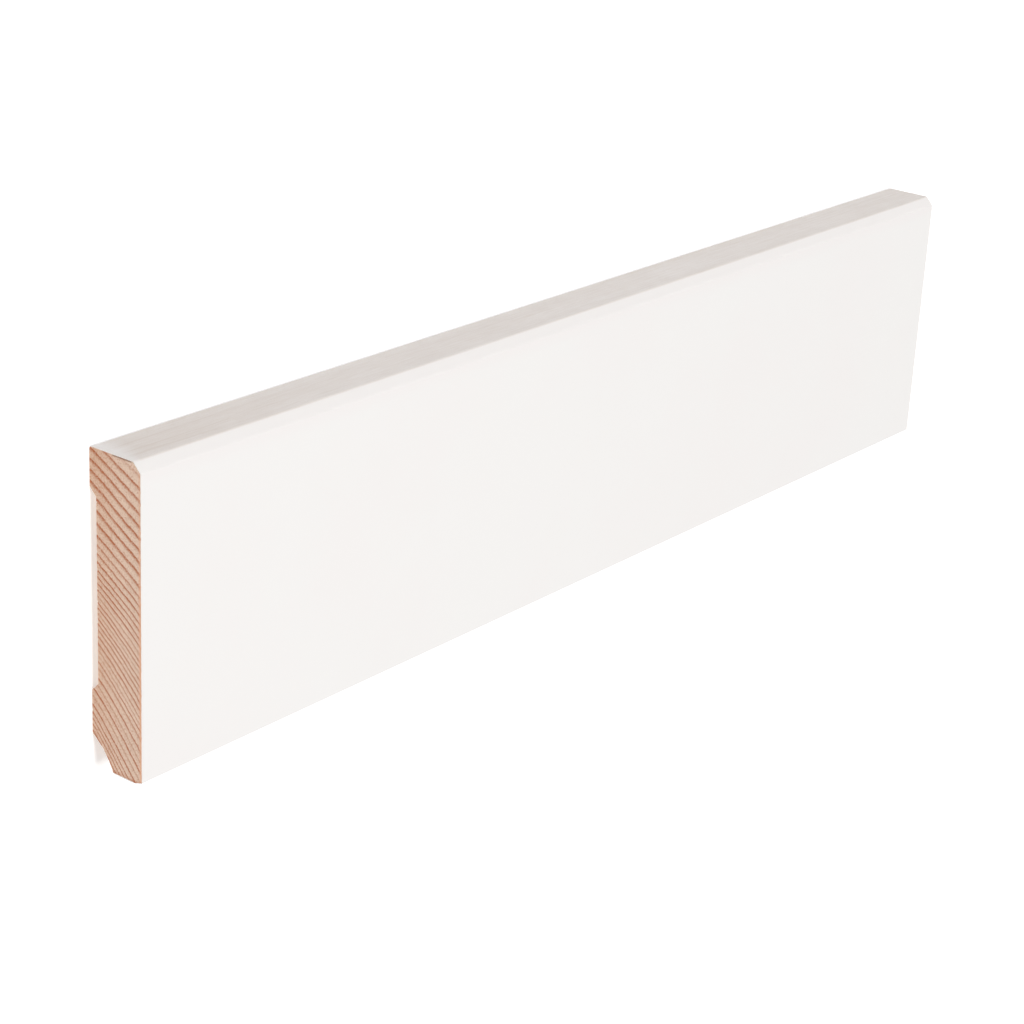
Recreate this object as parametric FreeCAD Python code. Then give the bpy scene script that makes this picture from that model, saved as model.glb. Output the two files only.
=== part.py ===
"""A length of softwood skirting board, lying on its back with its painted face up.

X runs along the board, Y up its face towards the top edge, Z out of the face.
The origin is on the plane of the two back feet, under the middle of the board.
"""
import FreeCAD, Part
import math
import os

# Overall size
board_length = 400.0
face_height = 92.0
thickness = 19.0

# Top edge
top_chamfer = 2.8
back_arris_radius = 1.0

# Back, planed hollow between two feet that lie against the wall
top_foot_height = 11.2
bottom_foot_height = 13.0
hollow_depth = 2.4
hollow_flank_angle = 45.0

# Bottom edge
cove_height = 9.4
cove_run = 7.9
cove_radius = 19.0
cove_lip_radius = 0.8
toe_bevel_run = 3.0
toe_bevel_rise = 1.0

# Places that follow from the sizes
bottom_y = -face_height / 2
top_y = face_height / 2
end_x = board_length / 2
hollow_flank_run = hollow_depth / math.tan(math.radians(hollow_flank_angle))


def point(y, z):
    """A corner of the section, on the board's near end."""
    return FreeCAD.Vector(-end_x, y, z)


def section_corners():
    """The corners of the section, named, in the order that the outline takes them."""
    foot_y = bottom_y + cove_height
    hollow_low_y = foot_y + bottom_foot_height
    hollow_high_y = top_y - top_foot_height
    return {
        "cove_lip": point(foot_y, 0),
        "hollow_low": point(hollow_low_y, 0),
        "hollow_floor_low": point(hollow_low_y + hollow_flank_run, hollow_depth),
        "hollow_floor_high": point(hollow_high_y - hollow_flank_run, hollow_depth),
        "hollow_high": point(hollow_high_y, 0),
        "back_arris": point(top_y, 0),
        "chamfer_top": point(top_y, thickness - top_chamfer),
        "chamfer_face": point(top_y - top_chamfer, thickness),
        "toe_face": point(bottom_y + toe_bevel_rise, thickness),
        "toe_land": point(bottom_y, thickness - toe_bevel_run),
        "cove_land": point(bottom_y, cove_run),
    }


def cove_arc(land, lip):
    """The hollow curve from the land to the bottom foot, cut into the wood."""
    chord = lip - land
    sagitta = cove_radius - math.sqrt(cove_radius**2 - (chord.Length / 2) ** 2)
    into_wood = FreeCAD.Vector(0, -chord.z, chord.y).normalize()
    crown = (land + lip) / 2 + into_wood * sagitta
    return Part.Arc(land, crown, lip).toShape()


def section():
    """The closed section: straight sides in turn, closed by the cove."""
    corners = section_corners()
    points = list(corners.values())
    sides = [Part.makeLine(start, end) for start, end in zip(points, points[1:])]
    sides.append(cove_arc(corners["cove_land"], corners["cove_lip"]))
    return Part.Face(Part.Wire(sides))


def lengthwise_edge(solid, corner):
    """The edge that runs the length of the board through a corner of the section."""
    middle = FreeCAD.Vector(0, corner.y, corner.z)
    return min(solid.Edges, key=lambda edge: edge.CenterOfMass.distanceToPoint(middle))


def skirting_board():
    """The section run the length of the board, with its two back corners eased."""
    corners = section_corners()
    board = section().extrude(FreeCAD.Vector(board_length, 0, 0))
    board = board.makeFillet(back_arris_radius, [lengthwise_edge(board, corners["back_arris"])])
    return board.makeFillet(cove_lip_radius, [lengthwise_edge(board, corners["cove_lip"])])


os.makedirs("parts", exist_ok=True)
skirting_board().exportStep("parts/skirting_board.step")
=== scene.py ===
"""Skirting board dressing.

Lays the finish of a cut length of painted softwood skirting board over its measured solid:
a swept moulding with sawn ends, satin white paint and bare planed wood, in a pale studio.
Lengths are in metres. X runs along the board, Y up its face, Z out of its face.
"""
import math

import bmesh
import bpy
from bpy.props import FloatProperty, FloatVectorProperty, IntProperty, PointerProperty
from mathutils import Matrix, Vector


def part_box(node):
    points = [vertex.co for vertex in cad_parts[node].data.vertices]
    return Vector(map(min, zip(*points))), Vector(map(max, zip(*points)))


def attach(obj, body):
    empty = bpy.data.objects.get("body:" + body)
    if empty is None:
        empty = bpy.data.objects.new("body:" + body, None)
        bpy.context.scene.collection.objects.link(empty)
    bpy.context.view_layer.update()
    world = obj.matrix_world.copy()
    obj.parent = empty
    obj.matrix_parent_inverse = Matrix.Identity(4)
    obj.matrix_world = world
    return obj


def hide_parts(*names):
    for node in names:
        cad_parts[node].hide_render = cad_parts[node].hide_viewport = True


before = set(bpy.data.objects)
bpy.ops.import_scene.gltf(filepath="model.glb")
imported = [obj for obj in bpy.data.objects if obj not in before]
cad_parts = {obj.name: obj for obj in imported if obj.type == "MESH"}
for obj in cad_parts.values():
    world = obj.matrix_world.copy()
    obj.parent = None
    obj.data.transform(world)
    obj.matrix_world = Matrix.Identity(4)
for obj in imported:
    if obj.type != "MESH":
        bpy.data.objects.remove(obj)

bl_info = {
    "name": "Skirting Board Dressing",
    "version": (1, 0, 0),
    "blender": (4, 5, 0),
    "location": "View3D > Sidebar > Skirting",
    "description": "Makes a painted softwood skirting board length and the studio it is shown in",
    "category": "Add Mesh",
}

MM = 0.001
SOLID = "skirting_board"
BODY = "root"
solid_low, solid_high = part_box(SOLID)


def colour(red, green, blue):
    """A linear colour from the usual 0 to 255 display values."""
    def linear(value):
        share = value / 255
        return share / 12.92 if share <= 0.04045 else ((share + 0.055) / 1.055) ** 2.4
    return (linear(red), linear(green), linear(blue))


def tinted(base, red, green, blue):
    """A colour with each channel multiplied by its share, and held at full strength."""
    return tuple(min(1.0, channel * share) for channel, share in zip(base, (red, green, blue)))


def size(name, default, description, **more):
    """A size that a user can change."""
    return FloatProperty(name=name, description=description, default=default, unit="LENGTH",
                         precision=5, **more)


def paint(name, default, description):
    """A colour that a user can change."""
    return FloatVectorProperty(name=name, description=description, default=default, subtype="COLOR",
                               size=3, min=0.0, max=1.0)


def location(name, default, description):
    """A place that a user can change."""
    return FloatVectorProperty(name=name, description=description, default=default,
                               subtype="TRANSLATION", unit="LENGTH")


# Settings that a user would change


class BoardSettings(bpy.types.PropertyGroup):
    """Sizes of the moulding and of the marks on it."""

    length: size("Length", solid_high.x - solid_low.x, "Length of the board")
    face_height: size("Face height", solid_high.y - solid_low.y, "From the floor edge to the top edge")
    thickness: size("Thickness", solid_high.z - solid_low.z, "From the back feet to the painted face")
    top_chamfer: size("Top chamfer", 2.8 * MM, "Width of the chamfer along the top of the face")
    back_arris: size("Back arris", 1.0 * MM, "Radius of the top corner at the back")
    top_foot: size("Top foot", 11.2 * MM, "Height of the back foot next to the top edge")
    bottom_foot: size("Bottom foot", 13.0 * MM, "Height of the back foot above the cove")
    hollow_depth: size("Hollow depth", 2.4 * MM, "Depth of the planed hollow between the feet")
    cove_height: size("Cove height", 9.4 * MM, "How far the cove reaches up the back")
    cove_run: size("Cove run", 7.9 * MM, "How far the cove reaches in from the back")
    cove_radius: size("Cove radius", 19.0 * MM, "Radius of the cove")
    toe_run: size("Toe run", 3.0 * MM, "Width of the bevel under the face's bottom edge")
    toe_rise: size("Toe rise", 1.0 * MM, "Height of the bevel under the face's bottom edge")
    corner_ease: size("Corner ease", 0.45 * MM, "How far the machined corners are softened")
    paint_film: size("Paint film", 0.16 * MM, "Thickness of the paint, seen at the sawn ends")
    grid_step: size("Grid step", 0.42 * MM, "Longest side of a facet on the sawn ends", min=0.2 * MM)
    stations: IntProperty(name="Stations", description="Rings of facets along the length", default=92, min=8)
    wood_recess: size("Wood recess", 0.07 * MM, "How far the sawn wood lies behind the edge of the paint")
    ring_relief: size("Ring relief", 0.03 * MM, "How far the dark rings stand out of the sawn ends")
    saw_relief: size("Saw relief", 0.05 * MM, "Depth of the saw's marks on the ends")
    torn_depth: size("Torn depth", 0.30 * MM, "How deep the saw tore the corners of the ends")


class FinishSettings(bpy.types.PropertyGroup):
    """Colours of the paint and the wood."""

    paint_white: paint("Paint", colour(232, 230, 228), "Satin white paint")
    early_wood: paint("Early wood", colour(218, 193, 173), "Pale wood of spring growth")
    late_wood: paint("Late wood", colour(167, 82, 24), "Dark line that closes each growth ring")
    bare_back: paint("Planed wood", colour(224, 192, 156), "Pale wood of the planed back")


class StudioSettings(bpy.types.PropertyGroup):
    """Floor, lights and camera."""

    floor_white: paint("Floor", colour(206, 206, 206), "Pale floor")
    floor_glow: FloatProperty(name="Floor glow", default=0.46, min=0.0,
                              description="Light from below through the floor, as in a light table")
    lens: FloatProperty(name="Lens", description="Focal length on a 36 mm wide sensor, in millimetres",
                        default=89.0, min=20.0)
    camera_place: location("Camera", (-0.6166, 0.2761, 0.4578), "Where the camera stands")
    camera_aim: location("Aim", (-0.0338, -0.0160, 0.0105), "The point that the camera looks at")
    camera_roll: FloatProperty(name="Roll", description="Turn of the picture about the line of sight",
                               default=math.radians(3.09), subtype="ANGLE")
    sky_strength: FloatProperty(name="Sky", description="Strength of the even light from all round",
                                default=0.38, min=0.0)
    overhead_strength: FloatProperty(name="Overhead light", default=2.4, min=0.0,
                                     description="Strength of the wide light above the face")
    overhead_width: FloatProperty(name="Overhead width", description="How wide the overhead light looks",
                                  default=math.radians(20), min=0.0, subtype="ANGLE")
    side_power: FloatProperty(name="Side light", description="Power of the light towards the near end",
                              default=2.4, min=0.0, subtype="POWER")


# A short way to write node trees


class Nodes:
    """Adds nodes to one tree and joins them up."""

    def __init__(self, tree):
        self.tree = tree

    def add(self, kind, values=None, **settings):
        """A node of a kind, with its settings, and its inputs set or linked by name or number."""
        node = self.tree.nodes.new(kind)
        node.location = (220 * (len(self.tree.nodes) % 12), -260 * (len(self.tree.nodes) // 12))
        for name, value in settings.items():
            setattr(node, name, value)
        for name, value in (values or {}).items():
            self.feed(node.inputs[name], value)
        return node

    def feed(self, socket, value):
        """Links an output to an input, or sets the input."""
        if isinstance(value, bpy.types.NodeSocket):
            self.tree.links.new(value, socket)
        else:
            socket.default_value = value

    def math(self, operation, *values):
        """One step of arithmetic."""
        return self.add("ShaderNodeMath", dict(enumerate(values)), operation=operation).outputs[0]

    def plus(self, total, *others):
        """The sum of all the values."""
        for other in others:
            total = self.math("ADD", total, other)
        return total

    def minus(self, a, b):
        """The first value less the second."""
        return self.math("SUBTRACT", a, b)

    def apart(self, a, b):
        """How far two values lie from each other."""
        return self.math("ABSOLUTE", self.minus(a, b))

    def times(self, product, *others):
        """The product of all the values."""
        for other in others:
            product = self.math("MULTIPLY", product, other)
        return product

    def ramp(self, value, low, high, to_low=0.0, to_high=1.0, smooth=False):
        """Value carried from one range to another and held at its ends."""
        kind = "SMOOTHSTEP" if smooth else "LINEAR"
        return self.add("ShaderNodeMapRange", {"Value": value, "From Min": low, "From Max": high,
                                               "To Min": to_low, "To Max": to_high},
                        interpolation_type=kind).outputs["Result"]

    def split(self, vector):
        """The three parts of a vector."""
        return self.add("ShaderNodeSeparateXYZ", {0: vector}).outputs

    def join(self, x, y, z):
        """A vector of three parts."""
        return self.add("ShaderNodeCombineXYZ", {0: x, 1: y, 2: z}).outputs[0]

    def stretch(self, vector, factors):
        """A vector with each part multiplied by its own factor."""
        return self.add("ShaderNodeVectorMath", {0: vector, 1: factors}, operation="MULTIPLY").outputs[0]

    def noise(self, vector, scale, detail=2.0, roughness=0.5):
        """Noise from 0 to 1 with its features about 1/scale metres wide."""
        return self.add("ShaderNodeTexNoise", {"Vector": vector, "Scale": scale, "Detail": detail,
                                               "Roughness": roughness}).outputs[0]

    def grain(self, position, along, scale, detail=2.0, roughness=0.5):
        """Noise drawn out along the board, with its features 1/along times as long as they are wide."""
        return self.noise(self.stretch(position, (along, 1.0, 1.0)), scale, detail, roughness)

    def mix(self, share, first, second):
        """Two colours mixed. The node takes its colours at inputs 6 and 7 and gives one at output 2."""
        node = self.add("ShaderNodeMix", {0: share}, data_type="RGBA")
        for number, value in ((6, first), (7, second)):
            linked = isinstance(value, bpy.types.NodeSocket)
            self.feed(node.inputs[number], value if linked else (*value, 1.0))
        return node.outputs[2]


# The wood, which reads the same on every face of the board

HEART = Vector((0.0, -111.3 * MM, -77.5 * MM))  # centre of the tree, outside the board
FIRST_RING = 106.0 * MM  # radius at which the count of rings starts, at the cove
RING_WANDER = 1.6 * MM  # range of the rings' broad waves
RING_FLUTTER = 0.5 * MM  # range of the rings' fine waves
RING_SWELLING = 0.5 * MM  # how much farther out the rings run at the face than at the back
RING_WAVES_ALONG = 0.12  # the waves are longer along the board than across it, by one over this
RING_SEED = 11938.3
FALSE_RING_SEED = RING_SEED + 0.3
FALSE_STRENGTH_SEED = RING_SEED + 0.6
RING_BANDS = (
    # how many rings in a row are about as wide, from the heart outwards, and how wide they are
    (5, 1.25 * MM),
    (5, 1.94 * MM),
    (1, 2.30 * MM),
    (3, 1.32 * MM),
    (3, 1.57 * MM),
    (5, 1.30 * MM),
    (5, 1.58 * MM),
    (3, 1.98 * MM),
    (1, 2.35 * MM),
    (13, 2.83 * MM),
)


def band_starts():
    """Where each band starts: rings counted so far, and distance from the heart. The last is the end."""
    starts = [(0, FIRST_RING)]
    for rings, width in RING_BANDS:
        count, start = starts[-1]
        starts.append((count + rings, start + rings * width))
    return starts


def ring_radius(nodes, position):
    """Distance from the heart of the tree, with the waves that the rings have."""
    _, y, z = nodes.split(position)
    out = nodes.minus(z, HEART.z)
    up = nodes.minus(y, HEART.y)
    straight = nodes.math("SQRT", nodes.plus(nodes.times(out, out), nodes.times(up, up)))
    broad_waves = nodes.grain(position, RING_WAVES_ALONG, 42.0, 1.0)
    fine_waves = nodes.grain(position, RING_WAVES_ALONG, 300.0, 2.0)
    wander = nodes.times(nodes.minus(broad_waves, 0.5), RING_WANDER)
    flutter = nodes.times(nodes.minus(fine_waves, 0.5), RING_FLUTTER)
    swelling = nodes.ramp(z, 9.0 * MM, 19.0 * MM, 0.0, RING_SWELLING, smooth=True)
    return nodes.plus(straight, nodes.plus(nodes.minus(wander, swelling), flutter))


def ring_count(nodes, radius):
    """How many growth rings lie inside a radius. Its fraction says how far across its own ring that is."""
    starts = band_starts()
    rings, last = starts[-1]
    curve = nodes.add("ShaderNodeFloatCurve", {"Value": nodes.ramp(radius, FIRST_RING, last)})
    line = curve.mapping.curves[0]
    for count, start in starts[1:-1]:
        line.points.new((start - FIRST_RING) / (last - FIRST_RING), count / rings)
    for point in line.points:
        point.handle_type = "VECTOR"
    curve.mapping.update()
    return nodes.times(curve.outputs[0], rings)


def chance(nodes, ring, seed):
    """A number from 0 to 1 that is the same all through a ring."""
    return nodes.add("ShaderNodeTexWhiteNoise", {"W": nodes.plus(ring, seed)},
                     noise_dimensions="1D").outputs[0]


def ring_darkness(nodes, ring, across, position):
    """How dark the wood is: a soft shade that ends in a narrow dark line, and a false line in some rings."""
    shade = nodes.times(nodes.ramp(across, 0.25, 0.75), 0.16)
    line = nodes.times(nodes.ramp(across, 0.52, 0.82, smooth=True), 0.80)
    ending = nodes.ramp(across, 0.88, 1.0, 1.0, 0.0, smooth=True)
    patchy = nodes.ramp(nodes.grain(position, 0.1, 130.0, 2.0), 0.3, 0.6, 0.85, 1.0)
    strength = nodes.times(nodes.ramp(chance(nodes, ring, RING_SEED), 0.0, 0.4, 0.4, 1.0), patchy)
    true_line = nodes.times(nodes.plus(shade, line), ending, strength)
    false_place = nodes.ramp(chance(nodes, ring, FALSE_RING_SEED), 0.0, 1.0, 0.25, 0.5)
    false_strength = nodes.ramp(chance(nodes, ring, FALSE_STRENGTH_SEED), 0.6, 1.0, 0.0, 0.25)
    false_line = nodes.ramp(nodes.apart(across, false_place), 0.02, 0.12, 1.0, 0.0)
    return nodes.math("MAXIMUM", true_line, nodes.times(false_line, false_strength))


def growth_rings(nodes, position):
    """How dark the rings make a point, and how far it is from the heart of the tree."""
    radius = ring_radius(nodes, position)
    count = ring_count(nodes, radius)
    ring, across = nodes.math("FLOOR", count), nodes.math("FRACT", count)
    return ring_darkness(nodes, ring, across, position), radius


# The section: where the back and the face lie at each height

ARC_STEP = math.radians(15)  # largest turn between two points of an eased corner
COVE_STEPS = 7
FILM_STEP = 0.06 * MM  # width of the step from the cut film of paint down to the wood
NEAREST_MARKS = 0.04 * MM  # least height between two rows of points


def eased(corners):
    """The path through corners given as height, depth and radius, each rounded to its radius.

    The first and the last corner only say where the path comes from and where it goes.
    """
    path = []
    for before, corner, after in zip(corners, corners[1:], corners[2:]):
        here, radius = Vector(corner[:2]), corner[2]
        if radius == 0:
            path.append(here)
            continue
        inward, onward = Vector(before[:2]) - here, Vector(after[:2]) - here
        half_angle = inward.angle(onward) / 2
        inward.normalize()
        onward.normalize()
        reach = radius / math.tan(half_angle)
        centre = here + (inward + onward).normalized() * radius / math.sin(half_angle)
        first = here + inward * reach - centre
        last = here + onward * reach - centre
        turn = last.angle_signed(first)
        steps = max(2, math.ceil(abs(turn) / ARC_STEP))
        path += [centre + Matrix.Rotation(turn * step / steps, 2) @ first for step in range(steps + 1)]
    return path


def cove_arc(board, low):
    """The cove from the bottom edge to the back foot, cut by a round cutter that stands outside the wood."""
    land, lip = Vector((low, board.cove_run)), Vector((low + board.cove_height, 0.0))
    chord = lip - land
    outward = Vector((chord.y, -chord.x)).normalized()
    centre = (land + lip) / 2 + outward * math.sqrt(board.cove_radius**2 - (chord.length / 2) ** 2)
    sweep = (lip - centre).angle_signed(land - centre)
    return [centre + Matrix.Rotation(sweep * step / COVE_STEPS, 2) @ (land - centre)
            for step in range(1, COVE_STEPS)]


def back_and_face(board):
    """The two sides of the section, each a path that climbs from the bottom edge to the top edge."""
    low, high = -board.face_height / 2, board.face_height / 2
    ease, lip = board.corner_ease, low + board.cove_height
    floor_low, floor_high = lip + board.bottom_foot, high - board.top_foot
    run = board.hollow_depth
    middle = board.thickness / 2
    back = [
        (low, middle, 0),
        (low, board.cove_run, ease),
        *((*spot, 0) for spot in cove_arc(board, low)),
        (lip, 0, 2 * ease),
        (floor_low, 0, ease / 3),
        (floor_low + run, run, ease),
        (floor_high - run, run, ease),
        (floor_high, 0, ease / 3),
        (high, 0, board.back_arris),
        (high, middle, 0),
    ]
    face = [
        (low, middle, 0),
        (low, board.thickness - board.toe_run, ease / 2),
        (low + board.toe_rise, board.thickness, ease / 2),
        (high - board.top_chamfer, board.thickness, 2 * ease),
        (high, board.thickness - board.top_chamfer, ease),
        (high, middle, 0),
    ]
    return eased(back), eased(face)


def depth_at(path, height):
    """Depth of a path at a height."""
    for start, end in zip(path, path[1:]):
        if start.x <= height <= end.x and end.x > start.x:
            return start.y + (end.y - start.y) * (height - start.x) / (end.x - start.x)
    return path[0].y if height < path[0].x else path[-1].y


def filled(marks, longest, nearest):
    """Marks in order, without those nearer than nearest, and with even ones added in gaps over longest."""
    marks = sorted(marks)
    spaced = [marks[0]]
    for mark in marks[1:]:
        gap = mark - spaced[-1]
        if gap < nearest:
            continue
        start, steps = spaced[-1], math.ceil(gap / longest)
        spaced += [start + gap * step / steps for step in range(1, steps + 1)]
    spaced[-1] = marks[-1]
    return spaced


def section_mesh(board):
    """The section as a flat grid of facets. Its points know if they are bare wood, not the cut paint."""
    back, face = back_and_face(board)
    low, high = -board.face_height / 2, board.face_height / 2
    film = board.paint_film
    paint_edges = [low + film, low + film + FILM_STEP, high - film - FILM_STEP, high - film]
    heights = filled([spot.x for spot in back + face] + paint_edges, board.grid_step, NEAREST_MARKS)
    rows = math.ceil(board.thickness / board.grid_step)
    across = rows + 3
    points, wood = [], []
    for height in heights:
        start, end = depth_at(back, height), depth_at(face, height)
        inner = end - film - FILM_STEP
        depths = [start + (inner - start) * row / rows for row in range(rows + 1)] + [end - film, end]
        points += [(0.0, height, depth) for depth in depths]
        bare = low + film + FILM_STEP / 2 < height < high - film - FILM_STEP / 2
        wood += [float(bare and 0 < row <= rows) for row in range(across)]
    facets = [(i * across + j, (i + 1) * across + j, (i + 1) * across + j + 1, i * across + j + 1)
              for i in range(len(heights) - 1) for j in range(across - 1)]
    mesh = bpy.data.meshes.new("section")
    mesh.from_pydata(points, [], facets)
    mesh.attributes.new("wood", "FLOAT", "POINT").data.foreach_set("value", wood)
    return mesh


# The node tree that sweeps the section along the board

SWEEP_SIZES = {
    "Length": "Length of the board",
    "Top": "Height of the top edge above the middle",
    "Paint Turn": "How far the paint turns round on to the back and the bottom",
    "Wood Recess": "How far the sawn wood lies behind the edge of the paint",
    "Ring Relief": "How far the dark rings stand out of the sawn ends",
    "Saw Relief": "Depth of the saw's marks",
    "Torn Depth": "How deep the saw tore the corners of the ends",
}
WELD_DISTANCE = 0.004 * MM
TORN_REACH = 1.6 * MM
CRISP_BEND = 0.6  # in radians
FACING_OUT = 0.2  # least part along Z of a painted facet's normal
FACING_END = 0.6  # least part along X of a sawn facet's normal
BARE_SHARE = 0.3  # least share of bare wood on a sawn facet


def sweep_sockets(tree):
    """The named inputs of the sweep, and its output."""
    def socket(name, kind, description, in_out="INPUT"):
        return tree.interface.new_socket(name=name, description=description, in_out=in_out,
                                         socket_type="NodeSocket" + kind)
    socket("Section", "Geometry", "The flat section, with its bare wood marked")
    socket("Stations", "Int", "Rings of facets along the length")
    for name, description in SWEEP_SIZES.items():
        socket(name, "Float", description).subtype = "DISTANCE"
    socket("Board", "Geometry", "The swept board", "OUTPUT")


def section_profile(nodes, section, position):
    """Rim of the section, laid out the way that the sweep takes a profile."""
    _, y, z = nodes.split(position)
    faces_beside = nodes.add("GeometryNodeInputMeshEdgeNeighbors").outputs[0]
    on_rim = nodes.math("LESS_THAN", faces_beside, 2.0)
    rim = nodes.add("GeometryNodeMeshToCurve", {"Mesh": section, "Selection": on_rim}).outputs[0]
    turned = nodes.join(nodes.times(y, -1.0), nodes.times(z, -1.0), 0.0)
    profile = nodes.add("GeometryNodeSetPosition", {"Geometry": rim, "Position": turned}).outputs[0]
    return nodes.add("GeometryNodeReverseCurve", {"Curve": profile}).outputs[0]


def sweep_rail(nodes, stations, half, position):
    """Line that the rim follows, with its stations gathered towards the sawn ends."""
    x, _, _ = nodes.split(position)
    start, end = nodes.join(nodes.times(half, -1.0), 0.0, 0.0), nodes.join(half, 0.0, 0.0)
    line = nodes.add("GeometryNodeCurvePrimitiveLine", {"Start": start, "End": end}).outputs[0]
    even = nodes.add("GeometryNodeResampleCurve", {"Curve": line, "Count": stations}).outputs[0]
    share = nodes.math("DIVIDE", x, half)
    inner = nodes.minus(1.0, nodes.math("ABSOLUTE", share))
    gathered = nodes.times(nodes.math("SIGN", share), nodes.minus(1.0, nodes.times(inner, inner)), half)
    moved = {"Geometry": even, "Position": nodes.join(gathered, 0.0, 0.0)}
    return nodes.add("GeometryNodeSetPosition", moved).outputs[0]


def closed_board(nodes, given, half, position):
    """The sides and the two sawn ends, welded into one closed shape."""
    section = given["Section"]
    rail = sweep_rail(nodes, given["Stations"], half, position)
    profile = section_profile(nodes, section, position)
    sides = nodes.add("GeometryNodeCurveToMesh", {"Curve": rail, "Profile Curve": profile}).outputs[0]
    to_right, to_left = nodes.join(half, 0.0, 0.0), nodes.join(nodes.times(half, -1.0), 0.0, 0.0)
    right = nodes.add("GeometryNodeTransform", {"Geometry": section, "Translation": to_right}).outputs[0]
    left = nodes.add("GeometryNodeTransform", {"Geometry": section, "Translation": to_left}).outputs[0]
    left = nodes.add("GeometryNodeFlipFaces", {"Mesh": left}).outputs[0]
    joined = nodes.add("GeometryNodeJoinGeometry")
    for part in (sides, right, left):
        nodes.feed(joined.inputs[0], part)
    return nodes.add("GeometryNodeMergeByDistance", {"Geometry": joined.outputs[0],
                                                     "Distance": WELD_DISTANCE}).outputs[0]


def end_depth(nodes, given, position):
    """How deep the sawn wood lies: behind the paint's edge, with its rings standing out and saw marks."""
    dark, _ = growth_rings(nodes, position)
    sunk = nodes.times(nodes.minus(1.0, dark), given["Ring Relief"])
    ripple = nodes.noise(nodes.stretch(position, (1.0, 0.25, 1.4)), 420.0, 2.0)
    return nodes.plus(given["Wood Recess"], nodes.plus(sunk, nodes.times(ripple, given["Saw Relief"])))


def torn_fibres(nodes, given, half, position):
    """How deep the fibres are torn out of the sides, next to the sawn ends."""
    x, _, _ = nodes.split(position)
    frayed = nodes.ramp(nodes.grain(position, 0.5, 650.0, 3.0, 0.6), 0.56, 0.78)
    from_end = nodes.minus(half, nodes.math("ABSOLUTE", x))
    near_end = nodes.math("POWER", nodes.ramp(from_end, 0.0, TORN_REACH, 1.0, 0.0), 1.5)
    return nodes.times(frayed, near_end, given["Torn Depth"])


def marked_board(nodes, board, depth, torn, bare, outward, position):
    """The board with its bare wood pushed in along X, and torn fibres taken out of the rest."""
    x, _, _ = nodes.split(position)
    along = nodes.times(nodes.math("SIGN", x), -1.0, nodes.times(bare, depth))
    inward = nodes.times(torn, nodes.minus(1.0, bare), -1.0)
    taken = nodes.add("ShaderNodeVectorMath", {0: outward, "Scale": inward}, operation="SCALE").outputs[0]
    shift = nodes.add("ShaderNodeVectorMath", {0: taken, 1: nodes.join(along, 0.0, 0.0)}).outputs[0]
    return nodes.add("GeometryNodeSetPosition", {"Geometry": board, "Offset": shift}).outputs[0]


def crisp_corners(nodes, board):
    """The board shaded smooth, apart from the corners between its faces."""
    bend = nodes.add("GeometryNodeInputMeshEdgeAngle").outputs[0]
    corner = nodes.math("GREATER_THAN", bend, CRISP_BEND)
    smooth = nodes.add("GeometryNodeSetShadeSmooth", {"Geometry": board, "Shade Smooth": True},
                       domain="FACE").outputs[0]
    return nodes.add("GeometryNodeSetShadeSmooth",
                     {"Geometry": smooth, "Selection": corner, "Shade Smooth": False},
                     domain="EDGE").outputs[0]


def finish_choice(nodes, given, bare, outward, position):
    """Which faces are painted, and which are sawn wood. The rest of them are planed wood."""
    _, y, _ = nodes.split(position)
    normal_x, _, normal_z = nodes.split(outward)
    on_face = nodes.math("GREATER_THAN", normal_z, FACING_OUT)
    on_edge = nodes.math("GREATER_THAN", nodes.math("ABSOLUTE", y),
                         nodes.minus(given["Top"], given["Paint Turn"]))
    at_end = nodes.math("GREATER_THAN", nodes.math("ABSOLUTE", normal_x), FACING_END)
    painted = nodes.math("MAXIMUM", nodes.math("MAXIMUM", on_face, on_edge), at_end)
    sawn = nodes.times(at_end, nodes.math("GREATER_THAN", bare, BARE_SHARE))
    return painted, sawn


def sweep_tree(paint_finish, sawn_finish, planed_finish):
    """A node tree that sweeps a flat section along X, closes its ends, and cuts the marks in them."""
    tree = bpy.data.node_groups.new("swept_moulding", "GeometryNodeTree")
    sweep_sockets(tree)
    nodes = Nodes(tree)
    given = nodes.add("NodeGroupInput").outputs
    position = nodes.add("GeometryNodeInputPosition").outputs[0]
    outward = nodes.add("GeometryNodeInputNormal").outputs[0]
    bare = nodes.add("GeometryNodeInputNamedAttribute", {"Name": "wood"}, data_type="FLOAT").outputs[0]
    half = nodes.times(given["Length"], 0.5)
    board = closed_board(nodes, given, half, position)
    depth = end_depth(nodes, given, position)
    torn = torn_fibres(nodes, given, half, position)
    board = marked_board(nodes, board, depth, torn, bare, outward, position)
    board = crisp_corners(nodes, board)
    board = nodes.add("GeometryNodeRealizeInstances", {"Geometry": board}).outputs[0]
    painted, sawn = finish_choice(nodes, given, bare, outward, position)
    for chosen, material in ((True, planed_finish), (painted, paint_finish), (sawn, sawn_finish)):
        board = nodes.add("GeometryNodeSetMaterial", {"Geometry": board, "Selection": chosen,
                                                      "Material": material}).outputs[0]
    nodes.add("NodeGroupOutput", {"Board": board})
    return tree


# Finishes

ROSE_REACH = 6.0 * MM  # how far below the chamfer the paint turns rosy
CHAMFER_BLEND = 0.3 * MM  # how soon the chamfer has its own tone
CUTTER_PITCH = 2.4 * MM  # between two ripples of the planed back
STRAY_PAINT_REACH = 2.2 * MM  # how far in from the edges stray paint can lie on the back


def finish(name):
    """A new material with its node helper, its shader and its position in the board."""
    material = bpy.data.materials.new(name)
    material.use_nodes = True
    nodes = Nodes(material.node_tree)
    material.node_tree.nodes.clear()
    shader = nodes.add("ShaderNodeBsdfPrincipled")
    nodes.add("ShaderNodeOutputMaterial", {"Surface": shader.outputs[0]})
    position = nodes.add("ShaderNodeTexCoord").outputs["Object"]
    return material, nodes, shader, position


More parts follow.
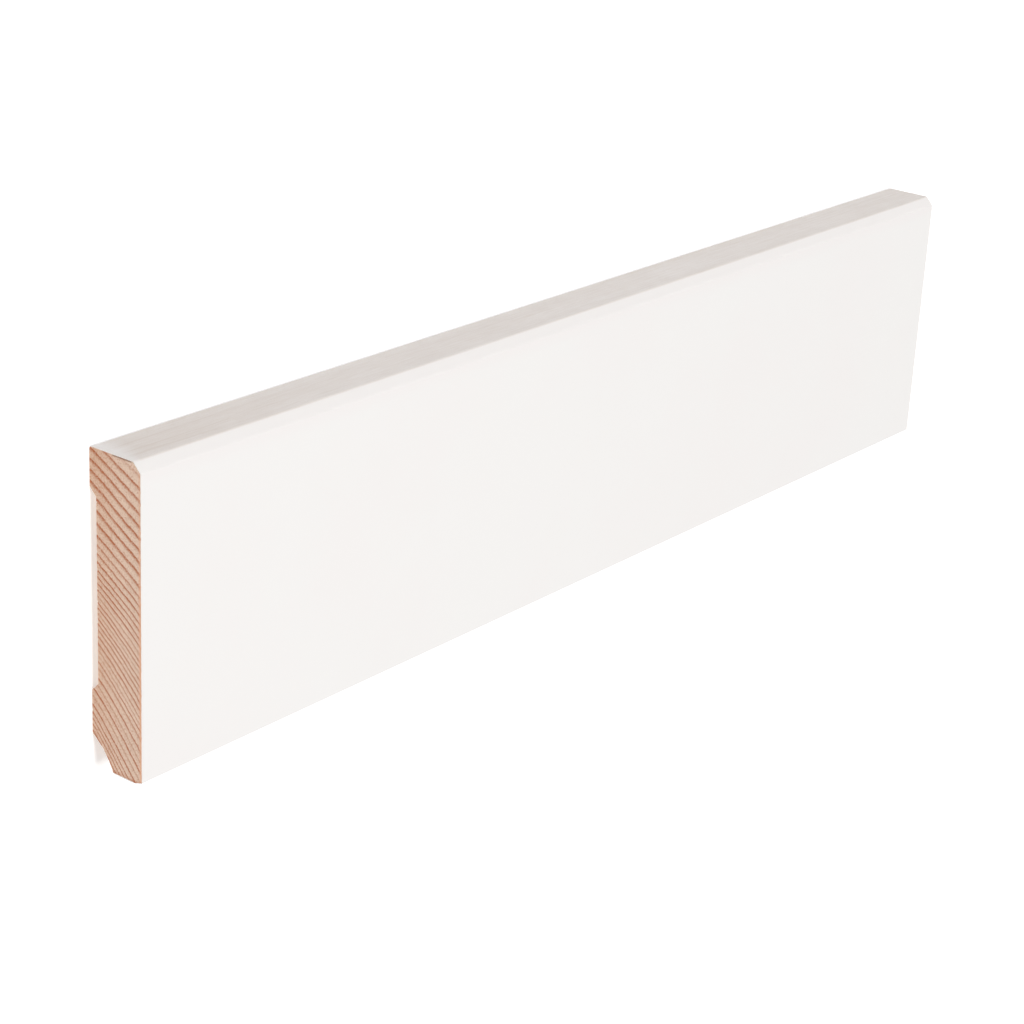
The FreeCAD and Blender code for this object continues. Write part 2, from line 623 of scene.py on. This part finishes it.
def bumped(nodes, shader, *layers):
    """Bumps laid over each other, each a pattern, its depth in metres and how strongly it shows."""
    inputs = {"Distance": 1.0}
    for pattern, depth, strength in layers:
        inputs["Height"] = nodes.times(pattern, depth)
        inputs["Strength"] = strength
        inputs["Normal"] = nodes.add("ShaderNodeBump", inputs).outputs[0]
    nodes.feed(shader.inputs["Normal"], inputs["Normal"])


def full_coat_with_lit_chamfer(board, nodes, position, white):
    """Colour of the paint where it is thick: rosy in patches and below the chamfer, and brighter on the
    chamfer, which is painted light.
    """
    _, y, z = nodes.split(position)
    chamfer_low = board.face_height / 2 - board.top_chamfer
    chamfer_back = board.thickness - board.top_chamfer
    patches = nodes.ramp(nodes.noise(position, 22.0, 3.0, 0.55), 0.42, 0.68, 0.0, 0.45)
    below_chamfer = nodes.ramp(y, chamfer_low - ROSE_REACH, chamfer_low, 0.0, 0.9, smooth=True)
    on_chamfer = nodes.times(nodes.ramp(y, chamfer_low, chamfer_low + CHAMFER_BLEND),
                             nodes.ramp(z, chamfer_back, chamfer_back + CHAMFER_BLEND))
    rosiness = nodes.math("MAXIMUM", patches, below_chamfer)
    tone = nodes.mix(rosiness, white, tinted(white, 1.0, 0.98, 0.982))
    # Painted light: the chamfer is made a little brighter because it takes less light than the face
    return nodes.mix(on_chamfer, tone, tinted(white, 1.006, 0.990, 0.989))


def thin_coat_and_top_shade(board, nodes, position, streaks):
    """How far the top edge is greyed: partly grain seen through thin paint, partly painted shade, as it takes
    less light than the face. More towards the near end, but least right at it.
    """
    x, _, z = nodes.split(position)
    from_near_end = nodes.plus(x, board.length / 2)
    # About half of the top edge's grey is always there, as painted shade, and it varies with the brush
    # streaks
    brushed_and_shaded = nodes.ramp(streaks, 0.35, 0.75, 0.50, 0.74)
    bands = nodes.ramp(nodes.grain(position, 0.03, 180.0, 2.0), 0.35, 0.65, -0.07, 0.07)
    hairs = nodes.ramp(nodes.grain(position, 0.09, 2100.0, 3.0, 0.6), 0.35, 0.70, -0.08, 0.13)
    grit = nodes.ramp(nodes.noise(position, 2000.0, 2.0), 0.3, 0.7, -0.08, 0.08)
    open_grain = nodes.apart(nodes.grain(position, 0.03, 150.0, 1.0), 0.5)
    thinnest = nodes.plus(0.14, nodes.ramp(open_grain, 0.0, 0.05, 0.26, 0.0))
    towards_end = nodes.ramp(from_near_end, 15.0 * MM, 90.0 * MM, 1.0, 0.0, smooth=True)
    coat_and_shade_greying = nodes.plus(brushed_and_shaded, bands, hairs, grit, nodes.times(thinnest, towards_end))
    reach = nodes.ramp(z, 9.0 * MM, 15.0 * MM, 7.5 * MM, 3.2 * MM)
    past_end = nodes.math("SMOOTH_MIN", nodes.math("DIVIDE", from_near_end, reach), 1.0, 0.3)
    return nodes.times(coat_and_shade_greying, nodes.ramp(past_end, 0.25, 1.0, 0.28, 1.0))


def satin_paint(board, colours):
    """Satin white paint over planed wood: the grain shows through it faintly, most on the top edge, which
    also carries painted shade.
    """
    material, nodes, shader, position = finish("satin_white_paint")
    x, y, z = nodes.split(position)
    white = tuple(colours.paint_white)
    top, chamfer_back = board.face_height / 2, board.thickness - board.top_chamfer
    dark, _ = growth_rings(nodes, position)
    streaks = nodes.grain(position, 0.02, 1300.0, 4.0, 0.65)
    on_top = nodes.ramp(y, top - 0.4 * MM, top - 0.1 * MM)
    top_coat_and_shade_share = nodes.times(thin_coat_and_top_shade(board, nodes, position, streaks), on_top)
    # Painted shade: the top edge is greyed partly because it takes less light than the face, and partly by
    # grain through thin paint
    tone = nodes.mix(top_coat_and_shade_share, full_coat_with_lit_chamfer(board, nodes, position, white), tinted(white, 0.80, 0.724, 0.674))
    from_crease = nodes.apart(nodes.plus(y, z), top + chamfer_back)
    worn = nodes.times(nodes.ramp(from_crease, 0.05 * MM, 0.5 * MM, 0.3, 0.0), on_top,
                       nodes.ramp(streaks, 0.3, 0.6, 0.5, 1.0))
    from_end = nodes.minus(board.length / 2, nodes.math("ABSOLUTE", x))
    cut = nodes.ramp(from_end, 0.1 * MM, 0.7 * MM, 0.4, 0.0)
    tone = nodes.mix(nodes.math("MAXIMUM", worn, cut), tone, tinted(white, 1.0, 0.955, 0.90))
    nodes.feed(shader.inputs["Base Color"], tone)
    nodes.feed(shader.inputs["Roughness"],
               nodes.ramp(nodes.noise(position, 160.0, 3.0), 0.3, 0.7, 0.36, 0.48))
    peel = nodes.noise(position, 650.0, 2.0)
    bumped(nodes, shader, (dark, 0.012 * MM, 0.5), (streaks, 0.012 * MM, 0.6), (peel, 0.006 * MM, 0.5))
    return material


def aged_wood(nodes, position, radius, early, pale):
    """Spring wood in pale patches, older towards the back, and bruised far out at the back."""
    _, _, z = nodes.split(position)
    aged = tinted(early, 0.88, 0.74, 0.64)
    blotch = nodes.noise(position, 95.0, 3.0, 0.6)
    wood = nodes.mix(nodes.ramp(blotch, 0.35, 0.7, 0.0, 0.7), early, pale)
    wood = nodes.mix(nodes.ramp(z, 3.0 * MM, 14.0 * MM, 0.4, 0.0, smooth=True), wood, aged)
    bruised = nodes.times(nodes.ramp(radius, 158.0 * MM, 174.0 * MM),
                          nodes.ramp(z, 3.0 * MM, 9.0 * MM, 1.0, 0.0),
                          nodes.ramp(nodes.noise(position, 260.0, 3.0), 0.35, 0.6, 0.3, 1.0))
    return nodes.mix(nodes.times(bruised, 0.7), wood, aged)


def speckled(nodes, position, wood, pores, late, pale):
    """Wood with fine dark pores in it, and coarser dark and pale grit."""
    grit = nodes.noise(position, 2100.0, 2.0)
    wood = nodes.mix(nodes.times(nodes.ramp(pores, 0.5, 0.8), 0.25), wood, late)
    wood = nodes.mix(nodes.times(nodes.ramp(grit, 0.50, 0.72), 0.42), wood, late)
    return nodes.mix(nodes.times(nodes.ramp(grit, 0.25, 0.48, 1.0, 0.0), 0.5), wood, pale)


def stained_and_shadowed_edges(board, nodes, position, wood, early, late):
    """Wood that is warm next to the face's paint, darker along the bottom edge, and with a painted shadow
    under the top edge's paint.
    """
    _, y, z = nodes.split(position)
    from_face = nodes.minus(board.thickness - board.paint_film, z)
    from_bottom = nodes.plus(y, board.face_height / 2 - board.paint_film)
    from_top = nodes.minus(board.face_height / 2 - board.paint_film, y)
    soaked = nodes.times(nodes.ramp(from_face, 0.3 * MM, 1.2 * MM, 0.9, 0.0),
                         nodes.ramp(y, 0.0, 35.0 * MM, 1.0, 0.5))
    # Darker along the bottom edge of the end, in patches
    darker_bottom_edge = nodes.times(nodes.ramp(from_bottom, 0.2 * MM, 1.2 * MM, 0.55, 0.0),
                           nodes.ramp(nodes.noise(position, 400.0, 2.0), 0.35, 0.55, 0.3, 1.0))
    # Painted shadow: a dark line on the wood just under the edge of the top's paint
    shadow = nodes.times(nodes.ramp(from_top, 0.25 * MM, 0.6 * MM, 1.0, 0.0),
                         nodes.ramp(nodes.noise(position, 300.0, 2.0), 0.35, 0.50),
                         nodes.ramp(z, 5.0 * MM, 8.0 * MM))
    wood = nodes.mix(soaked, wood, tinted(early, 1.10, 0.76, 0.60))
    wood = nodes.mix(darker_bottom_edge, wood, late)
    return nodes.mix(nodes.times(shadow, 0.75), wood, tinted(late, 0.35, 0.35, 0.35))


def sawn_wood(board, colours):
    """The sawn ends: growth rings, faint rays across them, fine pores and the saw's scratches."""
    material, nodes, shader, position = finish("sawn_end_grain")
    _, y, z = nodes.split(position)
    early, late = tuple(colours.early_wood), tuple(colours.late_wood)
    pale = tinted(early, 1.1, 1.1, 1.1)
    dark, radius = growth_rings(nodes, position)
    bearing = nodes.math("ARCTAN2", nodes.minus(y, HEART.y), nodes.minus(z, HEART.z))
    rays = nodes.noise(nodes.join(nodes.times(bearing, 0.15), nodes.times(radius, 0.06), 0.0), 5200.0, 2.0)
    pores = nodes.noise(position, 5200.0, 2.0)
    wood = nodes.mix(dark, aged_wood(nodes, position, radius, early, pale), late)
    wood = nodes.mix(nodes.times(nodes.ramp(rays, 0.55, 0.75), 0.16), wood, pale)
    wood = speckled(nodes, position, wood, pores, late, pale)
    nodes.feed(shader.inputs["Base Color"], stained_and_shadowed_edges(board, nodes, position, wood, early, late))
    nodes.feed(shader.inputs["Roughness"], nodes.ramp(dark, 0.0, 1.0, 0.86, 0.68))
    scratches = nodes.noise(nodes.stretch(position, (1.0, 0.06, 1.0)), 2600.0, 2.0)
    bumped(nodes, shader, (dark, 0.03 * MM, 0.3), (pores, 0.03 * MM, 0.5), (scratches, 0.02 * MM, 0.5))
    return material


def planed_wood(board, colours):
    """Bare planed wood: the same rings met lengthwise, cutter ripples and a dusting of stray paint."""
    material, nodes, shader, position = finish("planed_softwood")
    x, y, _ = nodes.split(position)
    base, late = tuple(colours.bare_back), tuple(colours.late_wood)
    dark, _ = growth_rings(nodes, position)
    fibres = nodes.grain(position, 0.02, 2400.0, 3.0, 0.6)
    blotch = nodes.grain(position, 0.2, 60.0, 3.0)
    wood = nodes.mix(nodes.ramp(blotch, 0.35, 0.7), base, tinted(base, 1.12, 1.12, 1.12))
    wood = nodes.mix(nodes.times(dark, 0.62), wood, late)
    wood = nodes.mix(nodes.times(nodes.ramp(fibres, 0.5, 0.75), 0.22), wood, late)
    to_edge = nodes.minus(board.face_height / 2, nodes.math("ABSOLUTE", y))
    ragged = nodes.minus(to_edge, nodes.times(nodes.grain(position, 0.3, 380.0, 3.0), STRAY_PAINT_REACH))
    stray = nodes.times(nodes.ramp(ragged, -0.4 * MM, 0.5 * MM, 1.0, 0.0, smooth=True), 0.85)
    nodes.feed(shader.inputs["Base Color"], nodes.mix(stray, wood, tuple(colours.paint_white)))
    nodes.feed(shader.inputs["Roughness"], nodes.ramp(fibres, 0.3, 0.7, 0.62, 0.78))
    ripple = nodes.math("SINE", nodes.times(x, math.tau / CUTTER_PITCH))
    bumped(nodes, shader, (dark, 0.02 * MM, 0.6), (fibres, 0.02 * MM, 0.6), (ripple, 0.0012 * MM, 1.0))
    return material


def studio_floor(studio):
    """Matt pale floor, a little uneven, and lit a little from below so that shadows on it stay pale."""
    material, nodes, shader, position = finish("pale_floor")
    white = tuple(studio.floor_white)
    cloud = nodes.noise(position, 3.0, 3.0)
    tone = nodes.mix(nodes.ramp(cloud, 0.3, 0.7), white, tinted(white, 0.99, 0.99, 0.99))
    nodes.feed(shader.inputs["Base Color"], tone)
    nodes.feed(shader.inputs["Roughness"], nodes.ramp(cloud, 0.3, 0.7, 0.85, 0.95))
    nodes.feed(shader.inputs["Emission Color"], (1.0, 1.0, 1.0, 1.0))
    nodes.feed(shader.inputs["Emission Strength"], studio.floor_glow)
    bumped(nodes, shader, (nodes.noise(position, 900.0, 2.0), 0.01 * MM, 0.2))
    return material


# Operators

PAINT_TURN_PER_ARRIS = 1.2
CUBIC_CM = 1e-6
FLOOR_REACH = 40.0
FLOOR_SQUARES = 20
FLOOR_DROP = 0.1 * MM
OVERHEAD_PLACE = Vector((-0.10, 0.08, 1.0))
OVERHEAD_AIM = Vector((0.0, 0.0, 0.0))
SIDE_PLACE = Vector((-1.5, -0.1, 0.9))
SIDE_AIM = Vector((-0.2, 0.0, 0.0))
SIDE_WIDTH = 1.0
NEAREST_SEEN = 0.01


def show(name, data):
    """A new object in the scene for a mesh, a light or a camera, at the origin."""
    thing = bpy.data.objects.new(name, data)
    bpy.context.scene.collection.objects.link(thing)
    return thing


def swept(name, section, tree, values):
    """The section run through the node tree, as one plain mesh."""
    source = show(name + "_section", section)
    modifier = source.modifiers.new("sweep", "NODES")
    modifier.node_group = tree
    inputs = {item.name: item.identifier for item in tree.interface.items_tree if item.in_out == "INPUT"}
    for label, value in values.items():
        modifier[inputs[label]] = value
    graph = bpy.context.evaluated_depsgraph_get()
    graph.update()
    mesh = bpy.data.meshes.new_from_object(source.evaluated_get(graph), preserve_all_data_layers=False)
    mesh.name = name
    bpy.data.objects.remove(source)
    return show(name, mesh)


class SKIRTING_OT_board(bpy.types.Operator):
    """Make the painted board: the swept moulding with its sawn ends"""

    bl_idname = "skirting.board"
    bl_label = "Painted Board"

    def execute(self, context):
        board, colours = context.scene.skirting_board, context.scene.skirting_finish
        tree = sweep_tree(satin_paint(board, colours), sawn_wood(board, colours), planed_wood(board, colours))
        piece = swept("painted_board", section_mesh(board), tree, {
            "Length": board.length,
            "Stations": board.stations,
            "Top": board.face_height / 2,
            "Paint Turn": board.back_arris * PAINT_TURN_PER_ARRIS,
            "Wood Recess": board.wood_recess,
            "Ring Relief": board.ring_relief,
            "Saw Relief": board.saw_relief,
            "Torn Depth": board.torn_depth,
        })
        check_closed(piece)
        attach(piece, BODY)
        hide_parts(SOLID)
        return {"FINISHED"}


def check_closed(piece):
    """Stops if the mesh has a hole, or faces turned inwards."""
    shape = bmesh.new()
    shape.from_mesh(piece.data)
    faces = len(shape.faces)
    open_edges = sum(not edge.is_contiguous for edge in shape.edges)
    volume = shape.calc_volume(signed=True)
    shape.free()
    print("board:", faces, "faces,", open_edges, "open edges, volume", round(volume / CUBIC_CM, 1), "cm3")
    if open_edges or volume <= 0:
        raise RuntimeError("the board isn't a closed shape with its faces outwards")


class SKIRTING_OT_studio(bpy.types.Operator):
    """Make the pale floor, the soft lights and the camera"""

    bl_idname = "skirting.studio"
    bl_label = "Studio"

    def execute(self, context):
        scene, studio = context.scene, context.scene.skirting_studio
        make_floor(studio)
        make_sky(scene, studio)
        make_lights(studio)
        make_camera(scene, studio)
        scene.view_settings.view_transform = "Standard"
        return {"FINISHED"}


def make_floor(studio):
    """A wide level floor, just under the board's feet."""
    shape = bmesh.new()
    bmesh.ops.create_grid(shape, x_segments=FLOOR_SQUARES, y_segments=FLOOR_SQUARES, size=FLOOR_REACH)
    bmesh.ops.translate(shape, verts=shape.verts, vec=(0, 0, -FLOOR_DROP))
    mesh = bpy.data.meshes.new("floor")
    shape.to_mesh(mesh)
    shape.free()
    mesh.materials.append(studio_floor(studio))
    show("floor", mesh)


def make_sky(scene, studio):
    """A pale sky that is white at the horizon."""
    world = bpy.data.worlds.new("soft_light")
    world.use_nodes = True
    nodes = Nodes(world.node_tree)
    sky = world.node_tree.nodes["Background"]
    _, _, height = nodes.split(nodes.add("ShaderNodeTexCoord").outputs["Generated"])
    haze = nodes.ramp(nodes.math("ABSOLUTE", height), 0.02, 0.16, 1.0, studio.sky_strength, smooth=True)
    nodes.feed(sky.inputs["Strength"], haze)
    nodes.feed(sky.inputs["Color"], (1.0, 1.0, 1.0, 1.0))
    scene.world = world


def make_lights(studio):
    """One wide light overhead and one soft light towards the near end."""
    overhead = bpy.data.lights.new("overhead_light", "SUN")
    overhead.energy = studio.overhead_strength
    overhead.angle = studio.overhead_width
    # Its mirror image in the satin paint is left out, or the face would be lost when seen from above
    aimed(overhead, OVERHEAD_PLACE, OVERHEAD_AIM).visible_glossy = False
    side = bpy.data.lights.new("side_light", "AREA")
    side.energy = studio.side_power
    side.size = SIDE_WIDTH
    aimed(side, SIDE_PLACE, SIDE_AIM)


def aimed(lamp, place, aim):
    """A light in its place, facing a point."""
    thing = show(lamp.name, lamp)
    thing.location = place
    thing.rotation_euler = (aim - place).to_track_quat("-Z", "Y").to_euler()
    return thing


def make_camera(scene, studio):
    """The camera at the photograph's viewing angle, with the board's height upright in the picture."""
    place, aim = Vector(studio.camera_place), Vector(studio.camera_aim)
    ahead = (aim - place).normalized()
    level = ahead.cross(Vector((0, 1, 0))).normalized()
    upright = level.cross(ahead)
    roll = studio.camera_roll
    right = math.cos(roll) * level + math.sin(roll) * upright
    up = math.cos(roll) * upright - math.sin(roll) * level
    turn = Matrix((right, up, -ahead)).transposed()
    lens = bpy.data.cameras.new("camera")
    lens.lens = studio.lens
    lens.clip_start = NEAREST_SEEN
    camera = show("camera", lens)
    camera.matrix_world = Matrix.Translation(place) @ turn.to_4x4()
    scene.camera = camera


class SKIRTING_PT_panel(bpy.types.Panel):
    """Lists the sizes, the finishes and the makers"""

    bl_label = "Skirting Board"
    bl_space_type = "VIEW_3D"
    bl_region_type = "UI"
    bl_category = "Skirting"

    def draw(self, context):
        layout, scene = self.layout, context.scene
        for group in (scene.skirting_board, scene.skirting_finish, scene.skirting_studio):
            box = layout.box()
            for name in group.__annotations__:
                box.prop(group, name)
        for maker in (SKIRTING_OT_board, SKIRTING_OT_studio):
            layout.operator(maker.bl_idname)


GROUPS = {
    "skirting_board": BoardSettings,
    "skirting_finish": FinishSettings,
    "skirting_studio": StudioSettings,
}
CLASSES = (*GROUPS.values(), SKIRTING_OT_board, SKIRTING_OT_studio, SKIRTING_PT_panel)


def register():
    """Adds the settings, the makers and the panel to Blender."""
    for new_class in CLASSES:
        bpy.utils.register_class(new_class)
    for name, group in GROUPS.items():
        setattr(bpy.types.Scene, name, PointerProperty(type=group))


def unregister():
    """Takes them away again."""
    for name in GROUPS:
        delattr(bpy.types.Scene, name)
    for new_class in reversed(CLASSES):
        bpy.utils.unregister_class(new_class)


def main():
    """Makes every piece and the studio."""
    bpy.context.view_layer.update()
    register()
    bpy.ops.skirting.board()
    bpy.ops.skirting.studio()


if __name__ == "__main__":
    main()
